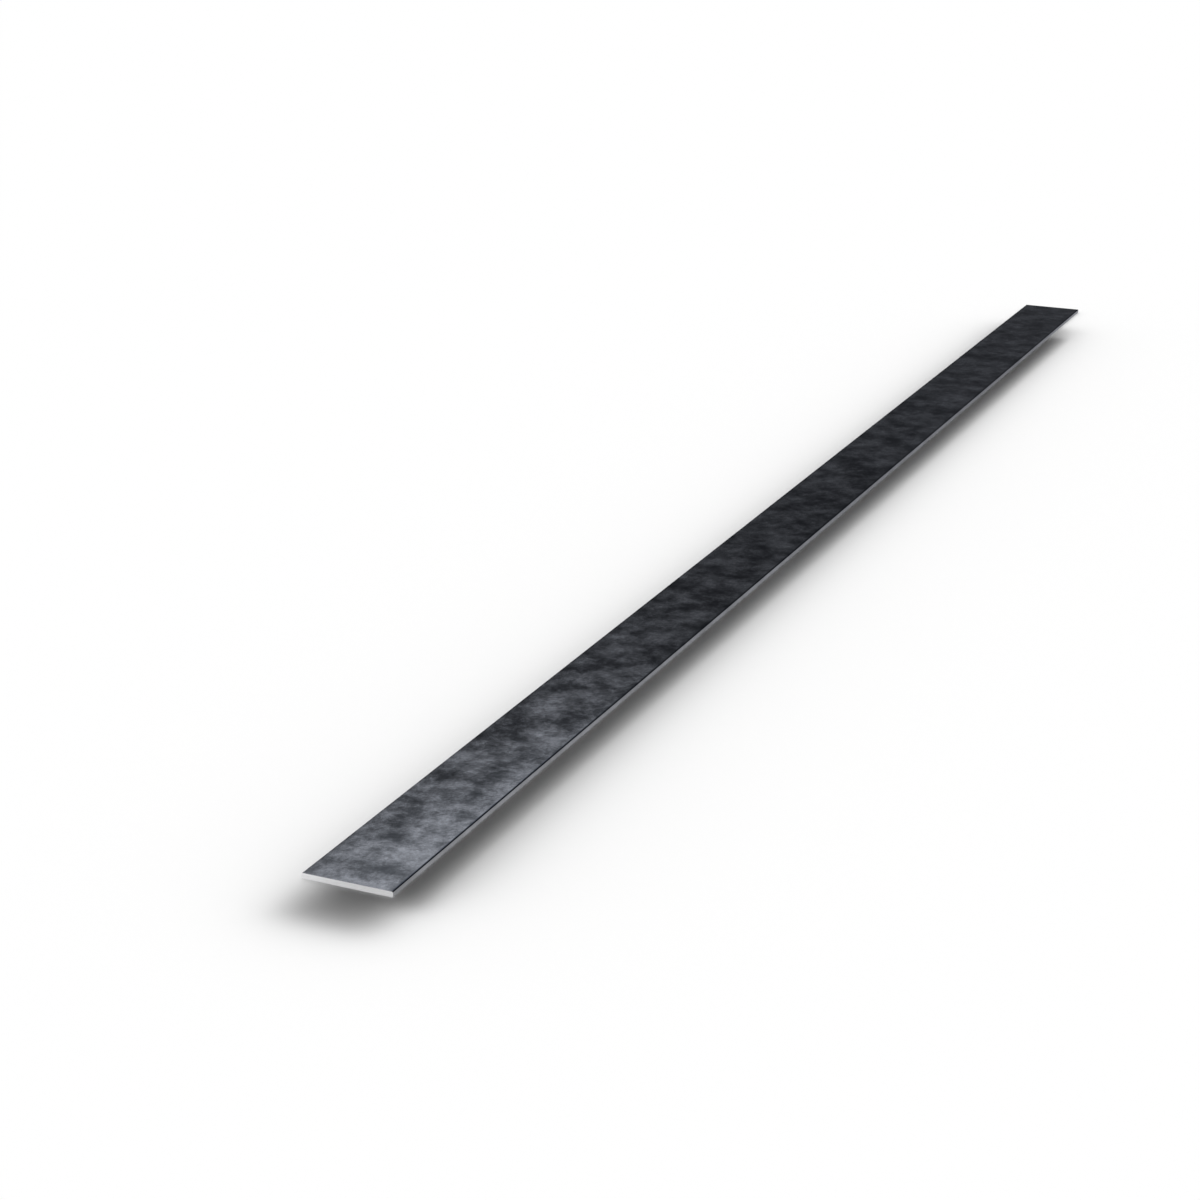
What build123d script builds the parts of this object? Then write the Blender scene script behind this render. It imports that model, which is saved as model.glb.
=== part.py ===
from build123d import *
import os

# Steel flat bar: one straight length of hot-rolled stock, cut square at both ends.
# It lies on one of its two wide faces. +X runs across the width, +Y along the length and +Z is up.
# The origin is the middle of the underside. All sizes are in millimetres.

# Rolled section
width = 50.0
thickness = 3.0
corner_radius = 0.6  # the mill's rolls leave the four long edges a little round

# Cut length
length = 1330.0

# Share of the thickness that one rounded corner may take, so that a flat strip stays between two
corner_share_limit = 0.45


def rolled_section():
    """Outline of the rolled bar, seen along its length, standing on the floor line."""
    radius = min(corner_radius, corner_share_limit * thickness)
    outline = RectangleRounded(width, thickness, radius, align=(Align.CENTER, Align.MIN))
    return Plane.XZ * outline


def flat_bar():
    """The section carried half the length each way from the middle, with square-cut ends."""
    return extrude(rolled_section(), amount=length / 2, both=True)


os.makedirs("parts", exist_ok=True)
bar = flat_bar()
bar.label = "flat_bar"
export_step(bar, "parts/flat_bar.step")
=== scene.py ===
"""A steel flat bar: one straight length of hot-rolled stock, cut square at both ends."""

import math

import bpy
from bpy.props import FloatProperty, FloatVectorProperty, IntProperty, PointerProperty
from bpy.types import Operator, Panel, PropertyGroup
from mathutils import Euler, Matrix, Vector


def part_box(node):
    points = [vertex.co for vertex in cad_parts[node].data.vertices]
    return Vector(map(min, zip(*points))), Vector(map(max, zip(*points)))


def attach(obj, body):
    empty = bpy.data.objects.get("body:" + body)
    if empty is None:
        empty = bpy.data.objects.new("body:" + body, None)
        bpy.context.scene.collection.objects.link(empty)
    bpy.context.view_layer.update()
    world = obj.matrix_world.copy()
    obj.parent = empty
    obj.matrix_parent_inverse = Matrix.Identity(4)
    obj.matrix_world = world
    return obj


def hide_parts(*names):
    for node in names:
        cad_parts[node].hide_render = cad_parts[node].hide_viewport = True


bl_info = {
    "name": "Steel Flat Bar",
    "version": (1, 0, 0),
    "blender": (4, 5, 0),
    "location": "3D View > Sidebar > Flat Bar",
    "description": "Makes a hot-rolled steel flat bar with sawn ends, and a plain studio round it",
    "category": "Add Mesh",
}

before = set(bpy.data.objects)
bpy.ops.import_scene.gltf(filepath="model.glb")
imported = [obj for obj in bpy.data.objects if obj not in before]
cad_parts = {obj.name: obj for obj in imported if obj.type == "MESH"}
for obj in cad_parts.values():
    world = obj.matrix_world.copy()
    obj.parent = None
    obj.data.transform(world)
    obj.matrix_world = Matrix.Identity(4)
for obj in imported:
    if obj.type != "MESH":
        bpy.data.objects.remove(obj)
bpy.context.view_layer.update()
BAR_NODE = "flat_bar"
LOW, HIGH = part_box(BAR_NODE)
SIZE = HIGH - LOW
MM = 0.001
TINY = 1e-9  # keeps a division from meeting zero

# Cut ends: the saw's lean across the bar and its wobble, and the ragged burr on the lower edge
SAW_TILT = math.tan(math.radians(1.2))
SAW_WOBBLE_SIZE = 8 * MM
BURR_HEIGHT = 0.15 * MM
BURR_TUFT_SIZE = 1.5 * MM
BURR_LEVELS = (0.35, 0.7)
CUT_FACING = 0.7  # a face that looks this much along the bar belongs to a cut end
SHARP_CREASE = math.radians(40)  # edges past this angle aren't shaded round

# Mill scale: which levels of the noise are dark and light, the sizes of its grain and dents,
# where its colour changes, as distances from the bar's top and sides, and how rough it is
CLOUD_LEVELS = (0.36, 0.70)
GRAIN_SIZE = 1.4 * MM
GRAIN_HEIGHT = 0.015  # in mm, as the dents' is
DENT_SIZE = 12 * MM
DENT_HEIGHT = 0.04
EDGE_FROM_TOP = (0.30 * MM, 0.52 * MM)
WEAR_FROM_SIDE = (0.30 * MM, 0.60 * MM)
WEAR_SHARE = 0.6
# Painted shade: a dark line along the upper right corner, as distances from the right side, and how
# strongly it shows
SHADE_LINE_FROM_SIDE = (0.75 * MM, 1.35 * MM)
SHADE_LINE_SHARE = 0.9
SCALE_TINT = (0.45, 0.455, 0.48, 1.0)  # tints what the scale mirrors at a grazing view
SCALE_ROUGHNESS = 0.10
LIGHT_ROUGHER = 0.05  # added to the roughness in the light clouds
GRAIN_ROUGHER = 0.03  # added and taken off by the grain

# Sawn steel: the fine lines of the saw
SAW_LINE_SIZE = 0.18 * MM
SAW_LINE_STRETCH = 0.04
SAW_LINE_LEVELS = (0.3, 0.6)
SAW_LINE_SHADE = 0.9
CUT_ROUGHNESS = 0.42
SAW_LINE_POLISH = 0.1

# Camera, from the photograph of 1200 pixels a side
PHOTO_SIDE = 1200
FOCAL_PIXELS = 2460.7
BAR_MIDDLE_RIGHT = 214.8  # pixels from the picture's middle to the bar's
BAR_MIDDLE_UP = 95.4
SENSOR = 36.0
VIEW_DOWN = math.radians(19.761)
VIEW_TURN = math.radians(24.236)
CAMERA_DISTANCE = 1.7446

# Floor, and the hidden cards over it that give the bar the wide, soft shadow of the photo.
# A card's near edge and far edge each have four distances in millimetres: in from the bar's left
# side, out from its right side, along +Y from the bar's own end, and up from the ground.
FLOOR_REACH = 30.0
FLOOR_Z = -0.02 * MM
CARDS = (
    ((10.5, 19.4, -7.8, 10.6), (9.9, 16.6, -106.5, 9.0)),
    ((7.2, 9.1, -39.4, 16.0), (7.6, 8.6, -112.9, 17.3)),
    ((10.1, 19.8, 10.2, 23.3), (1.3, 11.0, -70.4, 19.6)),
)
FLOOR_IN_METAL = 0.65  # how much of the floor's own shade is left out where metal mirrors it

# Dark cloth round the stage, a little brighter low down, and the pale window in it that the
# bar's near end mirrors. Each pair says where one brightness starts to give way to the next and
# where that ends, as shares of the radius.
SURROUND_RADIUS = 8.0
SURROUND_BOTTOM = -1.0
SURROUND_HEIGHT = math.radians(48)
SURROUND_PANELS = 96
CLOTH_TINT = (0.95, 0.97, 1.0)
LOW_CLOTH = (0.28, 0.34)
LOW_CLOTH_GAIN = 1.14
WINDOW_LIGHT = 1.55
WINDOW_EDGE = (0.246, 0.264)
WINDOW_SLANT = 0.465
WINDOW_TOP = (0.54, 0.66)
WINDOW_SIDE = (0.36, 0.45)
WINDOW_BACK = (0.0, 0.3)


# Node trees


class Value:
    """A number that flows through a node tree. Sums and products of it add Math nodes."""

    def __init__(self, tree, socket):
        self.tree = tree
        self.socket = socket

    def math(self, operation, *others):
        sockets = dict(enumerate((self, *others)))
        return self.tree.add("ShaderNodeMath", {"operation": operation}, sockets)["Value"]

    def reflected(self, operation, other):
        sockets = {0: other, 1: self}
        return self.tree.add("ShaderNodeMath", {"operation": operation}, sockets)["Value"]

    def __add__(self, other):
        return self.math("ADD", other)

    def __sub__(self, other):
        return self.math("SUBTRACT", other)

    def __mul__(self, other):
        return self.math("MULTIPLY", other)

    def __truediv__(self, other):
        return self.math("DIVIDE", other)

    def __radd__(self, other):
        return self.reflected("ADD", other)

    def __rsub__(self, other):
        return self.reflected("SUBTRACT", other)

    def __rmul__(self, other):
        return self.reflected("MULTIPLY", other)

    def __rtruediv__(self, other):
        return self.reflected("DIVIDE", other)

    def __gt__(self, other):
        return self.math("GREATER_THAN", other)

    def __lt__(self, other):
        return self.math("LESS_THAN", other)

    def clamped(self, low, high):
        return self.math("MAXIMUM", low).math("MINIMUM", high)

    def eased(self, low, high, to_low=0.0, to_high=1.0):
        """The value taken smoothly from low..high to to_low..to_high, and held beyond."""
        settings = {"interpolation_type": "SMOOTHSTEP"}
        ends = {"From Min": low, "From Max": high, "To Min": to_low, "To Max": to_high}
        return self.tree.add("ShaderNodeMapRange", settings, {"Value": self, **ends})["Result"]


class Outputs:
    """The outputs of one node, by name or number."""

    def __init__(self, tree, node):
        self.tree = tree
        self.node = node

    def __getitem__(self, name):
        return Value(self.tree, self.node.outputs[name])


class Tree:
    """Adds nodes to a shader or geometry tree."""

    def __init__(self, tree):
        self.tree = tree
        self.tree.nodes.clear()

    def add(self, kind, settings=None, sockets=None):
        """One node: its settings are set first, then its sockets get their values or links."""
        node = self.tree.nodes.new(kind)
        for name, setting in (settings or {}).items():
            setattr(node, name, setting)
        for name, value in (sockets or {}).items():
            if isinstance(value, Value):
                self.tree.links.new(value.socket, node.inputs[name])
            else:
                node.inputs[name].default_value = value
        return Outputs(self, node)

    def vector(self, x, y, z):
        return self.add("ShaderNodeCombineXYZ", {}, {"X": x, "Y": y, "Z": z})["Vector"]

    def split(self, vector):
        return self.add("ShaderNodeSeparateXYZ", {}, {"Vector": vector})

    def noise(self, place, size, seed, detail=2, roughness=0.5):
        """Cloudy noise whose largest blots are about `size` metres across."""
        return self.add("ShaderNodeTexNoise", {"noise_dimensions": "4D"}, {
            "Vector": place, "W": seed, "Scale": 1 / size, "Detail": detail, "Roughness": roughness,
        })["Fac"]

    def mixed(self, amount, first, second):
        """Two colours mixed by an amount. A Mix node's sockets share names, so they go by number."""
        sockets = {0: amount, 6: first, 7: second}
        return self.add("ShaderNodeMix", {"data_type": "RGBA"}, sockets)[2]


# Objects


def placed(name, data):
    """A new object of the scene, at the origin."""
    thing = bpy.data.objects.new(name, data)
    bpy.context.scene.collection.objects.link(thing)
    return thing


# Settings that a user would change


class BarSettings(PropertyGroup):
    """Shape of the bar. Its outside sizes come from the part."""

    width: FloatProperty(
        name="Width", description="Across the wide faces", default=SIZE.x, unit="LENGTH")
    thickness: FloatProperty(
        name="Thickness", description="Between the wide faces", default=SIZE.z, unit="LENGTH")
    length: FloatProperty(
        name="Length", description="Between the two cuts", default=SIZE.y, unit="LENGTH")
    corner_radius: FloatProperty(
        name="Corner Radius", description="Rounding of the four long edges",
        default=0.6 * MM, unit="LENGTH")
    waviness: FloatProperty(
        name="Waviness", description="How far the rolled faces dip",
        default=0.03 * MM, unit="LENGTH")
    wave_size: FloatProperty(
        name="Wave Size", description="Size of a dip in the rolled faces",
        default=45 * MM, unit="LENGTH")
    saw_mark_depth: FloatProperty(
        name="Saw Mark Depth", description="Depth of the marks on a cut end",
        default=0.025 * MM, unit="LENGTH")
    saw_mark_pitch: FloatProperty(
        name="Saw Mark Pitch", description="From one saw mark to the next",
        default=0.35 * MM, unit="LENGTH")
    burr: FloatProperty(
        name="Burr", description="How far the burr stands out where the saw left",
        default=0.06 * MM, unit="LENGTH")
    strips_across: IntProperty(
        name="Strips Across", description="Mesh strips across a wide face", default=24, min=1)
    strips_through: IntProperty(
        name="Strips Through", description="Mesh strips across a narrow edge", default=20, min=1)
    strips_along: IntProperty(
        name="Strips Along", description="Mesh strips along the bar", default=380, min=1)
    corner_steps: IntProperty(
        name="Corner Steps", description="Mesh steps in half a rounded corner", default=5, min=1)
    seed: FloatProperty(
        name="Seed", description="Another value gives other dips and clouds", default=901.8)


class FinishSettings(PropertyGroup):
    """Colours of the bar's surfaces."""

    scale_dark: FloatVectorProperty(
        name="Scale, Dark", description="Mill scale in the dark clouds",
        default=(0.0750, 0.0792, 0.0840), size=3, subtype="COLOR", min=0, max=1)
    scale_light: FloatVectorProperty(
        name="Scale, Light", description="Mill scale in the light clouds",
        default=(0.424, 0.436, 0.470), size=3, subtype="COLOR", min=0, max=1)
    # Painted shade: the colour of the dark line along the upper right corner
    painted_corner_shade: FloatVectorProperty(
        name="Scale, Corner", description="Heavy scale along the upper right corner",
        default=(0.0355, 0.0425, 0.0575), size=3, subtype="COLOR", min=0, max=1)
    cut_steel: FloatVectorProperty(
        name="Cut Steel", description="Bare steel of a fresh cut",
        default=(0.90, 0.90, 0.91), size=3, subtype="COLOR", min=0, max=1)
    edge_wear: FloatVectorProperty(
        name="Edge Wear", description="Where the narrow edges are rubbed",
        default=(0.52, 0.525, 0.54), size=3, subtype="COLOR", min=0, max=1)
    cloud_size: FloatProperty(
        name="Cloud Size", description="Size of the largest clouds in the scale",
        default=20 * MM, unit="LENGTH")


class StageSettings(PropertyGroup):
    """Floor and light."""

    floor_colour: FloatVectorProperty(
        name="Floor", description="Colour of the floor",
        default=(1.0, 1.0, 1.0), size=3, subtype="COLOR", min=0, max=1)
    room_light: FloatProperty(
        name="Room", description="Brightness of the white room all round", default=1.0)
    surround_glow: FloatProperty(
        name="Dark Surround", description="Brightness of the dark cloth that the bar mirrors",
        default=0.175)


# The bar's shape


def bar_tree():
    """A geometry tree that makes the rolled bar from its sizes, with sawn ends."""
    group = bpy.data.node_groups.new("rolled_bar", "GeometryNodeTree")
    sockets = {
        "NodeSocketFloat": (
            "Width", "Thickness", "Length", "Corner Radius", "Waviness", "Wave Size",
            "Saw Mark Depth", "Saw Mark Pitch", "Burr", "Seed",
        ),
        "NodeSocketInt": ("Strips Across", "Strips Through", "Strips Along", "Corner Steps"),
        "NodeSocketMaterial": ("Scale Finish", "Cut Finish"),
    }
    for kind, names in sockets.items():
        for name in names:
            group.interface.new_socket(name, in_out="INPUT", socket_type=kind)
    group.interface.new_socket("Geometry", in_out="OUTPUT", socket_type="NodeSocketGeometry")

    tree = Tree(group)
    given = tree.add("NodeGroupInput")
    block, strip_x, strip_y, strip_z = strip_block(tree, given)
    x, z = rounded_section(given, strip_x, strip_z)
    side = z.math("SIGN")
    y = strip_y / given["Strips Along"] * given["Length"]

    # The rolls leave the faces a little uneven, always inside the nominal section
    wide_place = tree.vector(x, y, side)
    wide_dip = tree.noise(wide_place, given["Wave Size"], given["Seed"]) * given["Waviness"]
    edge_place = tree.vector(x.math("SIGN"), y, 0.0)
    edge_dip = tree.noise(edge_place, 2 * given["Wave Size"], given["Seed"]) * given["Waviness"]
    wavy_x = x * (1 - 2 * edge_dip / given["Width"])
    wavy_z = z * (1 - 2 * wide_dip / given["Thickness"]) + given["Thickness"] / 2

    # The saw leaves fine marks on each cut, and a burr along its lower edge
    at_end = strip_y.math("ABSOLUTE") > 0.5 * given["Strips Along"] - 0.5
    wobble = tree.noise(tree.vector(x, y, wavy_z), SAW_WOBBLE_SIZE, given["Seed"])
    wobble *= given["Saw Mark Pitch"]
    turns = (wavy_z + SAW_TILT * x + wobble) / given["Saw Mark Pitch"] * (2 * math.pi)
    mark = (turns.math("SINE") + 1) * 0.5 * given["Saw Mark Depth"]
    tufts = tree.noise(
        tree.vector(x, y, 0.0), BURR_TUFT_SIZE, given["Seed"], detail=3, roughness=0.6)
    lip = wavy_z.eased(0.0, BURR_HEIGHT, 1.0, 0.0) * tufts.eased(*BURR_LEVELS)
    inset = (given["Burr"] + mark) * (1 - lip)
    cut_y = y - y.math("SIGN") * at_end * inset

    bar = tree.add("GeometryNodeSetPosition", {}, {
        "Geometry": block, "Position": tree.vector(wavy_x, cut_y, wavy_z),
    })["Geometry"]
    joined = tree.add("GeometryNodeRealizeInstances", {}, {"Geometry": bar})["Geometry"]
    scaled = tree.add("GeometryNodeSetMaterial", {}, {
        "Geometry": joined, "Material": given["Scale Finish"],
    })["Geometry"]
    normal = tree.split(tree.add("GeometryNodeInputNormal")["Normal"])
    finished = tree.add("GeometryNodeSetMaterial", {}, {
        "Geometry": scaled,
        "Selection": normal["Y"].math("ABSOLUTE") > CUT_FACING,
        "Material": given["Cut Finish"],
    })["Geometry"]
    tree.add("NodeGroupOutput", {}, {"Geometry": finished})
    return group


def strip_block(tree, given):
    """A block one unit a strip, and each point's strip number across, along and through it."""
    across = given["Strips Across"] + 2 * given["Corner Steps"]
    through = given["Strips Through"] + 2 * given["Corner Steps"]
    along = given["Strips Along"]
    block = tree.add("GeometryNodeMeshCube", {}, {
        "Size": tree.vector(across, along, through),
        "Vertices X": across + 1,
        "Vertices Y": along + 1,
        "Vertices Z": through + 1,
    })["Mesh"]
    strip = tree.split(tree.add("GeometryNodeInputPosition")["Position"])
    return block, strip["X"], strip["Y"], strip["Z"]


def rounded_section(given, strip_x, strip_z):
    """Where a point with these strip numbers lies on the section with its rounded corners."""
    radius = given["Corner Radius"]

    def spread(strip, size, flat_strips):
        """How far a strip lies along the flat part, and then round the corner."""
        flat = (strip / flat_strips).clamped(-0.5, 0.5) * (size - 2 * radius)
        past = (strip.math("ABSOLUTE") - 0.5 * flat_strips).math("MAXIMUM", 0.0)
        turn = past / given["Corner Steps"] * (math.pi / 4)
        return flat, turn.math("TANGENT") * radius * strip.math("SIGN")

    flat_x, corner_x = spread(strip_x, given["Width"], given["Strips Across"])
    flat_z, corner_z = spread(strip_z, given["Thickness"], given["Strips Through"])
    square = corner_x.math("ABSOLUTE").math("MAXIMUM", corner_z.math("ABSOLUTE"))
    diagonal = (corner_x * corner_x + corner_z * corner_z).math("SQRT")
    pull = square / diagonal.math("MAXIMUM", TINY)
    return flat_x + corner_x * pull, flat_z + corner_z * pull


def meshed_bar(bar, scale_finish, cut_finish):
    """The geometry tree's result as a plain mesh object, with its flat faces kept flat."""
    piece = placed("rolled_flat_bar", bpy.data.meshes.new("rolled_flat_bar"))
    maker = piece.modifiers.new("rolled_bar", "NODES")
    maker.node_group = bar_tree()
    values = {
        "Width": bar.width, "Thickness": bar.thickness, "Length": bar.length,
        "Corner Radius": bar.corner_radius, "Waviness": bar.waviness, "Wave Size": bar.wave_size,
        "Saw Mark Depth": bar.saw_mark_depth, "Saw Mark Pitch": bar.saw_mark_pitch,
        "Burr": bar.burr, "Seed": bar.seed,
        "Strips Across": bar.strips_across, "Strips Through": bar.strips_through,
        "Strips Along": bar.strips_along, "Corner Steps": bar.corner_steps,
        "Scale Finish": scale_finish, "Cut Finish": cut_finish,
    }
    for item in maker.node_group.interface.items_tree:
        if item.in_out == "INPUT":
            maker[item.identifier] = values[item.name]
    take_result(piece)
    piece.data.set_sharp_from_angle(angle=SHARP_CREASE)
    piece.modifiers.new("flat_faces", "WEIGHTED_NORMAL").keep_sharp = True
    take_result(piece)
    return piece


def take_result(piece):
    """Turns a piece's modifiers into plain mesh and removes them."""
    bpy.context.view_layer.update()
    made = piece.evaluated_get(bpy.context.evaluated_depsgraph_get())
    piece.data = bpy.data.meshes.new_from_object(made)
    piece.modifiers.clear()


# Finishes


def new_material(name):
    material = bpy.data.materials.new(name)
    material.use_nodes = True
    return material, Tree(material.node_tree)


def finish_with(tree, sockets):
    shader = tree.add("ShaderNodeBsdfPrincipled", {}, sockets)
    tree.add("ShaderNodeOutputMaterial", {}, {"Surface": shader["BSDF"]})


def mill_scale(finish, seed):
    """Dark blue-grey oxide from the rolling mill, in smoky clouds of lighter and darker grey, with
    painted shade as a dark line along the upper right corner.
    """
    material, tree = new_material("mill_scale")
    place = tree.add("ShaderNodeTexCoord")["Object"]
    clouds = tree.noise(place, finish.cloud_size, seed, detail=12, roughness=0.74)
    light = clouds.eased(*CLOUD_LEVELS)
    grain = tree.noise(place, GRAIN_SIZE, seed, detail=3, roughness=0.6)
    dents = tree.noise(place, DENT_SIZE, seed)

    point = tree.split(place)
    from_side = SIZE.x / 2 - point["X"].math("ABSOLUTE")
    edge = (HIGH.z - point["Z"]).eased(*EDGE_FROM_TOP)
    worn = edge * from_side.eased(*WEAR_FROM_SIDE, WEAR_SHARE, 0.0)
    # Painted shade: a dark line on the top and the upper rounding, along the right side only
    corner_shade_mask = (1 - edge) * (HIGH.x - point["X"]).eased(*SHADE_LINE_FROM_SIDE, SHADE_LINE_SHARE, 0.0)

    colour = tree.mixed(light, (*finish.scale_dark, 1), (*finish.scale_light, 1))
    colour = tree.mixed(corner_shade_mask, colour, (*finish.painted_corner_shade, 1))
    colour = tree.mixed(worn, colour, (*finish.edge_wear, 1))
    bump = tree.add("ShaderNodeBump", {}, {
        "Strength": 1.0, "Distance": MM, "Height": GRAIN_HEIGHT * grain + DENT_HEIGHT * dents,
    })["Normal"]
    finish_with(tree, {
        "Base Color": colour,
        "Metallic": 1.0,
        "Roughness": SCALE_ROUGHNESS + LIGHT_ROUGHER * light + GRAIN_ROUGHER * (grain - 0.5),
        "Specular Tint": SCALE_TINT,
        "Normal": bump,
    })
    return material


def sawn_steel(finish, seed):
    """Bare bright steel with the fine lines of the saw across it."""
    material, tree = new_material("sawn_steel")
    place = tree.add("ShaderNodeTexCoord")["Object"]
    stretched = tree.add("ShaderNodeMapping", {}, {
        "Vector": place, "Scale": (SAW_LINE_STRETCH, 1.0, 1.0),
    })["Vector"]
    lines = tree.noise(stretched, SAW_LINE_SIZE, seed, roughness=0.6)
    darker = tuple(SAW_LINE_SHADE * part for part in finish.cut_steel)
    colour = tree.mixed(lines.eased(*SAW_LINE_LEVELS), (*darker, 1), (*finish.cut_steel, 1))
    bump = tree.add("ShaderNodeBump", {}, {
        "Strength": 0.3, "Distance": 0.05 * MM, "Height": lines,
    })["Normal"]
    finish_with(tree, {
        "Base Color": colour,
        "Metallic": 1.0,
        "Roughness": CUT_ROUGHNESS - SAW_LINE_POLISH * (lines - 0.5),
        "Normal": bump,
    })
    return material


# Stage


def stage_piece(name, points, faces, material):
    """A piece of the stage, from its points and faces."""
    mesh = bpy.data.meshes.new(name)
    mesh.from_pydata(points, [], faces)
    mesh.materials.append(material)
    piece = placed(name, mesh)
    return piece


def plain_sheet(name, near, far, material):
    """A sheet from a near edge to a far one. Each edge is its left X, right X, Y and Z."""
    corners = [(edge[side], *edge[2:]) for edge, side in ((near, 0), (near, 1), (far, 1), (far, 0))]
    return stage_piece(name, corners, [(0, 1, 2, 3)], material)


def add_floor(colour):
    """A white floor that keeps the bar's shadow. Metal mirrors it nearer to white than it is."""
    material, tree = new_material("floor_paint")
    path = tree.add("ShaderNodeLightPath")
    mirrored = path["Is Glossy Ray"].math("MAXIMUM", path["Is Transmission Ray"]) * FLOOR_IN_METAL
    paint = tree.add("ShaderNodeBsdfDiffuse", {}, {"Color": (*colour, 1)})
    lit = tree.add("ShaderNodeEmission", {}, {"Color": (*colour, 1), "Strength": 1.0})
    mix = tree.add("ShaderNodeMixShader", {}, {0: mirrored, 1: paint["BSDF"], 2: lit["Emission"]})
    tree.add("ShaderNodeOutputMaterial", {}, {"Surface": mix["Shader"]})
    near, far = ((-FLOOR_REACH, FLOOR_REACH, y, FLOOR_Z) for y in (-FLOOR_REACH, FLOOR_REACH))
    plain_sheet("floor", near, far, material)


def add_shadow_cards():
    """Black cards over the bar that keep light off the floor, for the wide shadow in the photo."""
    material, tree = new_material("black_card")
    black = tree.add("ShaderNodeBsdfDiffuse", {}, {"Color": (0, 0, 0, 1)})
    tree.add("ShaderNodeOutputMaterial", {}, {"Surface": black["BSDF"]})
    for near, far in CARDS:
        card = plain_sheet("shadow_card", over_bar(near, LOW.y), over_bar(far, HIGH.y), material)
        card.visible_camera = False
        card.visible_glossy = False
        card.visible_transmission = False


def over_bar(edge, end):
    """A card's edge as its left X, right X, Y and Z, from its distances to the bar."""
    left, right, along, height = (distance * MM for distance in edge)
    return LOW.x + left, HIGH.x + right, end + along, height


def add_dark_surround(glow):
    """Dark cloth with a pale window behind the bar on its left. Only mirror rays see it."""
    material, tree = new_material("surround_cloth")
    place = tree.split(tree.add("ShaderNodeTexCoord")["Object"])
    across, along, up = (place[axis] / SURROUND_RADIUS for axis in "XYZ")
    window = (up + WINDOW_SLANT * across).eased(*WINDOW_EDGE) * up.eased(*WINDOW_TOP, 1.0, 0.0)
    window *= (-1 * across).eased(*WINDOW_SIDE) * along.eased(*WINDOW_BACK)

    def lit(strength):
        """The cloth's colour at a strength, as a share of the window's."""
        return (*(strength / WINDOW_LIGHT * part for part in CLOTH_TINT), 1)

    cloth = tree.mixed(up.eased(*LOW_CLOTH), lit(LOW_CLOTH_GAIN * glow), lit(glow))
    colour = tree.mixed(window, cloth, lit(WINDOW_LIGHT))
    light = tree.add("ShaderNodeEmission", {}, {"Color": colour, "Strength": WINDOW_LIGHT})
    tree.add("ShaderNodeOutputMaterial", {}, {"Surface": light["Emission"]})

    top = SURROUND_RADIUS * math.tan(SURROUND_HEIGHT)
    turns = [2 * math.pi * panel / SURROUND_PANELS for panel in range(SURROUND_PANELS)]
    points = [
        (SURROUND_RADIUS * math.cos(turn), SURROUND_RADIUS * math.sin(turn), z)
        for z in (SURROUND_BOTTOM, top) for turn in turns
    ]
    pairs = [(panel, (panel + 1) % SURROUND_PANELS) for panel in range(SURROUND_PANELS)]
    faces = [(here, after, SURROUND_PANELS + after, SURROUND_PANELS + here) for here, after in pairs]
    wall = stage_piece("dark_surround", points, faces, material)
    wall.visible_camera = False
    wall.visible_diffuse = False
    wall.visible_transmission = False
    wall.visible_shadow = False


def add_room(strength):
    """The plain white room that lights the floor, and that the camera and the bar see."""
    world = bpy.data.worlds.new("room")
    world.use_nodes = True
    world.cycles.sampling_method = "NONE"
    bpy.context.scene.world = world
    tree = Tree(world.node_tree)
    white = tree.add("ShaderNodeBackground", {}, {"Color": (1, 1, 1, 1), "Strength": strength})
    tree.add("ShaderNodeOutputWorld", {}, {"Surface": white["Background"]})


def add_camera():
    """The photo's viewing angle. The bar's middle stands right of and above the picture's middle."""
    camera = bpy.data.cameras.new("camera")
    camera.sensor_width = SENSOR
    camera.lens = SENSOR * FOCAL_PIXELS / PHOTO_SIDE
    holder = placed("camera", camera)
    turn = Euler((math.pi / 2 - VIEW_DOWN, 0.0, VIEW_TURN)).to_matrix()
    right, up, back = turn.col
    pixel = CAMERA_DISTANCE / FOCAL_PIXELS
    aside = right * (BAR_MIDDLE_RIGHT * pixel) + up * (BAR_MIDDLE_UP * pixel)
    holder.location = back * CAMERA_DISTANCE - aside
    holder.rotation_euler = turn.to_euler()
    bpy.context.scene.camera = holder


# Operators, panel and registration


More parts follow.
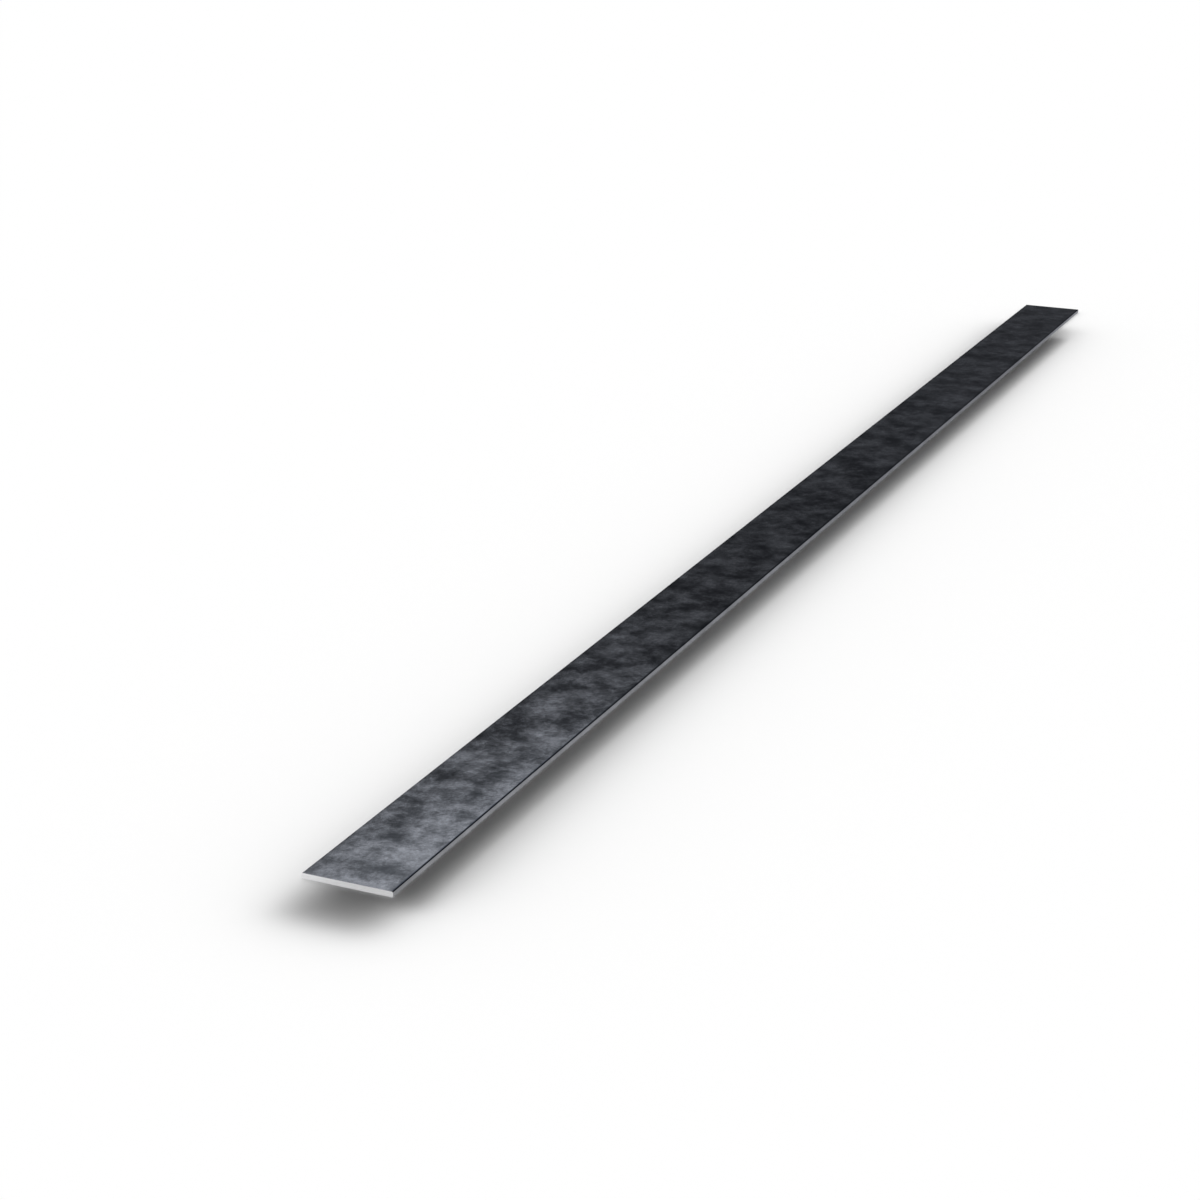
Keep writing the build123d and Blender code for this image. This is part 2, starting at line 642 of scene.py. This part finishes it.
class FLATBAR_OT_add_bar(Operator):
    """Make the rolled bar with its mill scale and its two sawn ends"""

    bl_idname = "flatbar.add_bar"
    bl_label = "Add Flat Bar"

    def execute(self, context):
        bar = context.scene.flat_bar
        finish = context.scene.flat_bar_finish
        piece = meshed_bar(bar, mill_scale(finish, bar.seed), sawn_steel(finish, bar.seed))
        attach(piece, "root")
        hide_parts(BAR_NODE)
        return {"FINISHED"}


class FLATBAR_OT_add_stage(Operator):
    """Make the white floor, the room's light, what the bar mirrors, and the camera"""

    bl_idname = "flatbar.add_stage"
    bl_label = "Add Stage"

    def execute(self, context):
        stage = context.scene.flat_bar_stage
        add_floor(stage.floor_colour)
        add_shadow_cards()
        add_dark_surround(stage.surround_glow)
        add_room(stage.room_light)
        add_camera()
        return {"FINISHED"}


class FLATBAR_PT_panel(Panel):
    """Lists what makes the bar and its stage"""

    bl_idname = "FLATBAR_PT_panel"
    bl_label = "Flat Bar"
    bl_space_type = "VIEW_3D"
    bl_region_type = "UI"
    bl_category = "Flat Bar"

    def draw(self, context):
        for label, settings, operator in (
            ("Bar", context.scene.flat_bar, FLATBAR_OT_add_bar),
            ("Finish", context.scene.flat_bar_finish, None),
            ("Stage", context.scene.flat_bar_stage, FLATBAR_OT_add_stage),
        ):
            column = self.layout.box().column()
            column.label(text=label)
            for name in settings.__annotations__:
                column.prop(settings, name)
            if operator:
                column.operator(operator.bl_idname)


CLASSES = (
    BarSettings,
    FinishSettings,
    StageSettings,
    FLATBAR_OT_add_bar,
    FLATBAR_OT_add_stage,
    FLATBAR_PT_panel,
)


def register():
    for each in CLASSES:
        bpy.utils.register_class(each)
    bpy.types.Scene.flat_bar = PointerProperty(type=BarSettings)
    bpy.types.Scene.flat_bar_finish = PointerProperty(type=FinishSettings)
    bpy.types.Scene.flat_bar_stage = PointerProperty(type=StageSettings)


def unregister():
    del bpy.types.Scene.flat_bar_stage
    del bpy.types.Scene.flat_bar_finish
    del bpy.types.Scene.flat_bar
    for each in reversed(CLASSES):
        bpy.utils.unregister_class(each)


def main():
    register()
    bpy.ops.flatbar.add_bar()
    bpy.ops.flatbar.add_stage()
    bpy.context.scene.view_settings.view_transform = "Standard"


if __name__ == "__main__":
    main()
